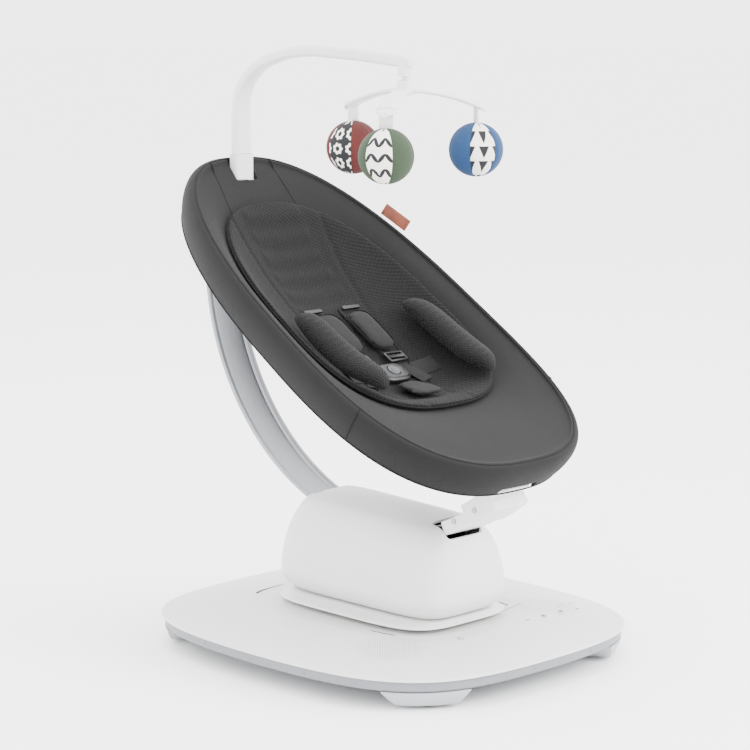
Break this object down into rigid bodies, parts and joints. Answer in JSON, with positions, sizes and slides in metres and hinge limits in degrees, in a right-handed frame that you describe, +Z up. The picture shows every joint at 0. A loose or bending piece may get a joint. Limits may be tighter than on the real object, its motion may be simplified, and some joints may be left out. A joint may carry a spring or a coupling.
{
  "type": "baby swing",
  "caption": "Motorised baby swing: flat base, tower that sways and rises, curved bow that reclines an oval fabric seat with harness, toy bar and spinning mobile with hanging balls.",
  "frame": {"origin": "on the floor under the middle of the whole swing's outer box", "axes": "+Z up, the seat's foot end faces -Y and its head end +Y, +X to the right seen from the front"},
  "size_m": [0.482, 0.591, 0.7464],
  "materials": {
    "white_shell": "satin moulded",
    "grey_shell": "fine moulded grain",
    "foot_rubber": "soft matte",
    "steel_rod": "ground",
    "bow_metal": "satin anodised",
    "nylon_black": "moulded",
    "gear_plastic": "moulded",
    "bush_plastic": "moulded",
    "board": "coated",
    "screw_steel": "zinc plated",
    "motor_case": "satin",
    "seat_fabric": "plain woven",
    "liner_fabric": "quilted mesh",
    "webbing": "ribbed webbing",
    "pad_fabric": "padded",
    "buckle_button": "satin",
    "tag_leather": "smooth",
    "ribbon_white": "grosgrain",
    "ball_red": "woven",
    "ball_green": "woven",
    "ball_blue": "woven"
  },
  "bodies": {
    "base": {"base_pan": "grey_shell", "base_cover": "white_shell", "leg_front_left": "grey_shell", "leg_front_right": "grey_shell", "leg_rear_left": "grey_shell", "leg_rear_right": "grey_shell", "foot_pads": "foot_rubber", "sway_rails": "steel_rod", "rail_mounts": "nylon_black", "sway_motor": "motor_case", "control_board": "board", "speaker_left": "nylon_black", "speaker_right": "nylon_black", "touch_panel": "board", "power_socket": "nylon_black", "audio_socket": "nylon_black", "base_screws": "screw_steel"},
    "sway_pinion": {"sway_pinion": "gear_plastic"},
    "carriage": {"carriage_frame": "grey_shell", "rail_bushes": "bush_plastic", "sway_rack": "gear_plastic", "slot_cover": "white_shell", "inner_column": "grey_shell", "lift_posts": "steel_rod", "lift_motor": "motor_case"},
    "lift_pinion": {"lift_pinion": "gear_plastic"},
    "tower": {"tower_shell": "white_shell", "head_frame": "grey_shell", "lift_bushes": "bush_plastic", "lift_rack": "gear_plastic", "bow_glides": "bush_plastic"},
    "lock_lever": {"lock_lever": "grey_shell"},
    "seat": {"bow_rail": "bow_metal", "head_clip": "white_shell", "foot_clip": "white_shell", "clip_screws": "screw_steel", "seat_ring": "bow_metal", "seat_cover": "seat_fabric", "seat_liner": "liner_fabric", "bolster_left": "liner_fabric", "bolster_right": "liner_fabric", "harness_straps": "webbing", "shoulder_pad_left": "pad_fabric", "shoulder_pad_right": "pad_fabric", "strap_adjusters": "nylon_black", "crotch_pad": "pad_fabric", "buckle": "nylon_black", "side_tag": "tag_leather", "toy_socket": "white_shell"},
    "buckle_button": {"buckle_button": "buckle_button"},
    "toy_bar": {"toy_bar": "white_shell"},
    "mobile": {"mobile_spider": "white_shell"},
    "ball_rear": {"ribbon_rear": "ribbon_white", "ball_rear": "ball_red"},
    "ball_left": {"ribbon_left": "ribbon_white", "ball_left": "ball_green"},
    "ball_right": {"ribbon_right": "ribbon_white", "ball_right": "ball_blue"}
  },
  "joints": [
    {"name": "sway", "type": "slide", "parent": "base", "child": "carriage", "axis": [1, 0, 0], "range_m": [-0.035, 0.035]},
    {"name": "sway_pinion_turn", "type": "hinge", "parent": "base", "child": "sway_pinion", "pos_m": [0, -0.143, 0.029], "axis": [0, 0, 1], "range_deg": [-210, 210]},
    {"name": "lift", "type": "slide", "parent": "carriage", "child": "tower", "axis": [0, 0, 1], "range_m": [0, 0.038]},
    {"name": "lift_pinion_turn", "type": "hinge", "parent": "carriage", "child": "lift_pinion", "pos_m": [0.009, -0.025, 0.085], "axis": [0, 1, 0], "range_deg": [-225, 225]},
    {"name": "recline", "type": "hinge", "parent": "tower", "child": "seat", "pos_m": [0, -0.024, 0.466], "axis": [1, 0, 0], "range_deg": [-27, 0]},
    {"name": "lock_lever_tilt", "type": "hinge", "parent": "tower", "child": "lock_lever", "pos_m": [0, 0.103, 0.12], "axis": [1, 0, 0], "range_deg": [0, 22], "stiffness_Nm_per_rad": 0.4, "springref_deg": -11.46},
    {"name": "buckle_press", "type": "slide", "parent": "seat", "child": "buckle_button", "axis": [0, 0.4707, -0.8823], "range_m": [0, 0.0025], "stiffness_N_per_m": 400, "springref_m": -0.001},
    {"name": "toy_bar_swivel", "type": "hinge", "parent": "seat", "child": "toy_bar", "pos_m": [0, 0.25, 0.59], "axis": [0, 0, 1], "range_deg": [-90, 90]},
    {"name": "mobile_spin", "type": "hinge", "parent": "toy_bar", "child": "mobile", "pos_m": [0, -0.048, 0.7], "axis": [0, 0, 1], "continuous": true},
    {"name": "ball_rear_swing", "type": "hinge", "parent": "mobile", "child": "ball_rear", "pos_m": [0, 0.042, 0.6717], "axis": [-1, 0, 0], "range_deg": [-20, 20]},
    {"name": "ball_left_swing", "type": "hinge", "parent": "mobile", "child": "ball_left", "pos_m": [-0.07794, -0.093, 0.6717], "axis": [0.5, -0.866, 0], "range_deg": [-20, 20]},
    {"name": "ball_right_swing", "type": "hinge", "parent": "mobile", "child": "ball_right", "pos_m": [0.07794, -0.093, 0.6717], "axis": [0.5, 0.866, 0], "range_deg": [-20, 20]}
  ],
  "couplings": [
    {"joint": "sway_pinion_turn", "follows": "sway", "rad_per_m": -100},
    {"joint": "lift_pinion_turn", "follows": "lift", "rad_per_m": 100}
  ]
}
